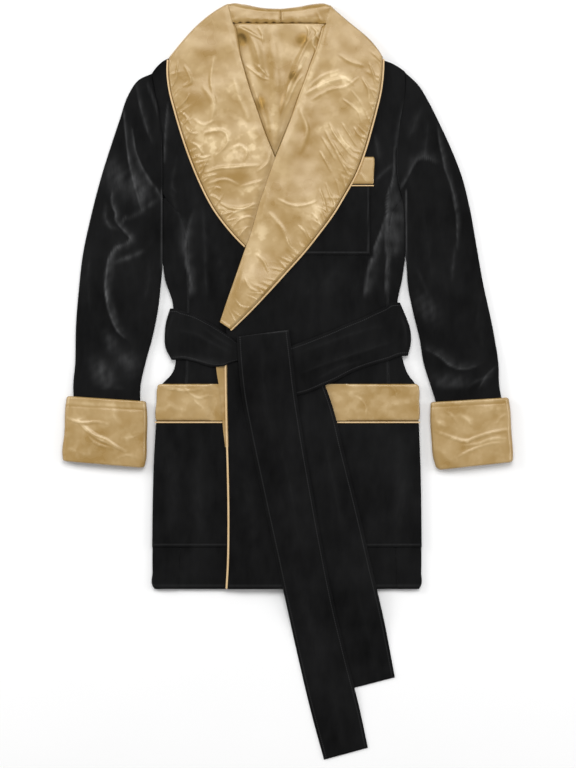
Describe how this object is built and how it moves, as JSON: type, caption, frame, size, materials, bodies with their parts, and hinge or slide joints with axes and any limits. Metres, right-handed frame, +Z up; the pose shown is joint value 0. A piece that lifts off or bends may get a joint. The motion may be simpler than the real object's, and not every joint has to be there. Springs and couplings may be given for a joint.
{
  "type": "smoking jacket",
  "caption": "Velvet smoking jacket laid flat, with a wide satin shawl collar, turned-back satin cuffs, banded patch pockets, light piping and a tied sash belt.",
  "frame": {"origin": "centre of the bounding box's bottom face, on the surface that the jacket lies on", "axes": "+Y towards the collar, +Z up from the surface, out of the jacket's front, +X towards the wearer's left"},
  "size_m": [0.705, 1.1848, 0.0278],
  "materials": {
    "velvet_black": "short black cotton velvet pile with a soft sheen",
    "satin_gold": "padded antique gold satin",
    "lining_gold": "thin antique gold satin lining",
    "piping_gold": "light gold satin over a round cord"
  },
  "bodies": {
    "root": {"back": "velvet_black", "back_lining": "lining_gold", "belt_end_long": "velvet_black", "belt_end_short": "velvet_black", "belt_round": "velvet_black", "chest_pocket": "velvet_black", "chest_pocket_band": "satin_gold", "collar_fall_left": "satin_gold", "collar_fall_right": "satin_gold", "collar_left": "satin_gold", "collar_right": "satin_gold", "collar_stand_left": "satin_gold", "collar_stand_right": "satin_gold", "cuff_left": "satin_gold", "cuff_right": "satin_gold", "front_facing": "satin_gold", "front_left": "velvet_black", "front_right": "velvet_black", "hip_pocket_band_left": "satin_gold", "hip_pocket_band_right": "satin_gold", "hip_pocket_left": "velvet_black", "hip_pocket_right": "velvet_black", "piping_chest": "piping_gold", "piping_collar_left": "piping_gold", "piping_collar_right": "piping_gold", "piping_front": "piping_gold", "piping_hip_left": "piping_gold", "piping_hip_right": "piping_gold", "side_left": "velvet_black", "side_right": "velvet_black", "sleeve_left": "velvet_black", "sleeve_right": "velvet_black"}
  },
  "joints": []
}
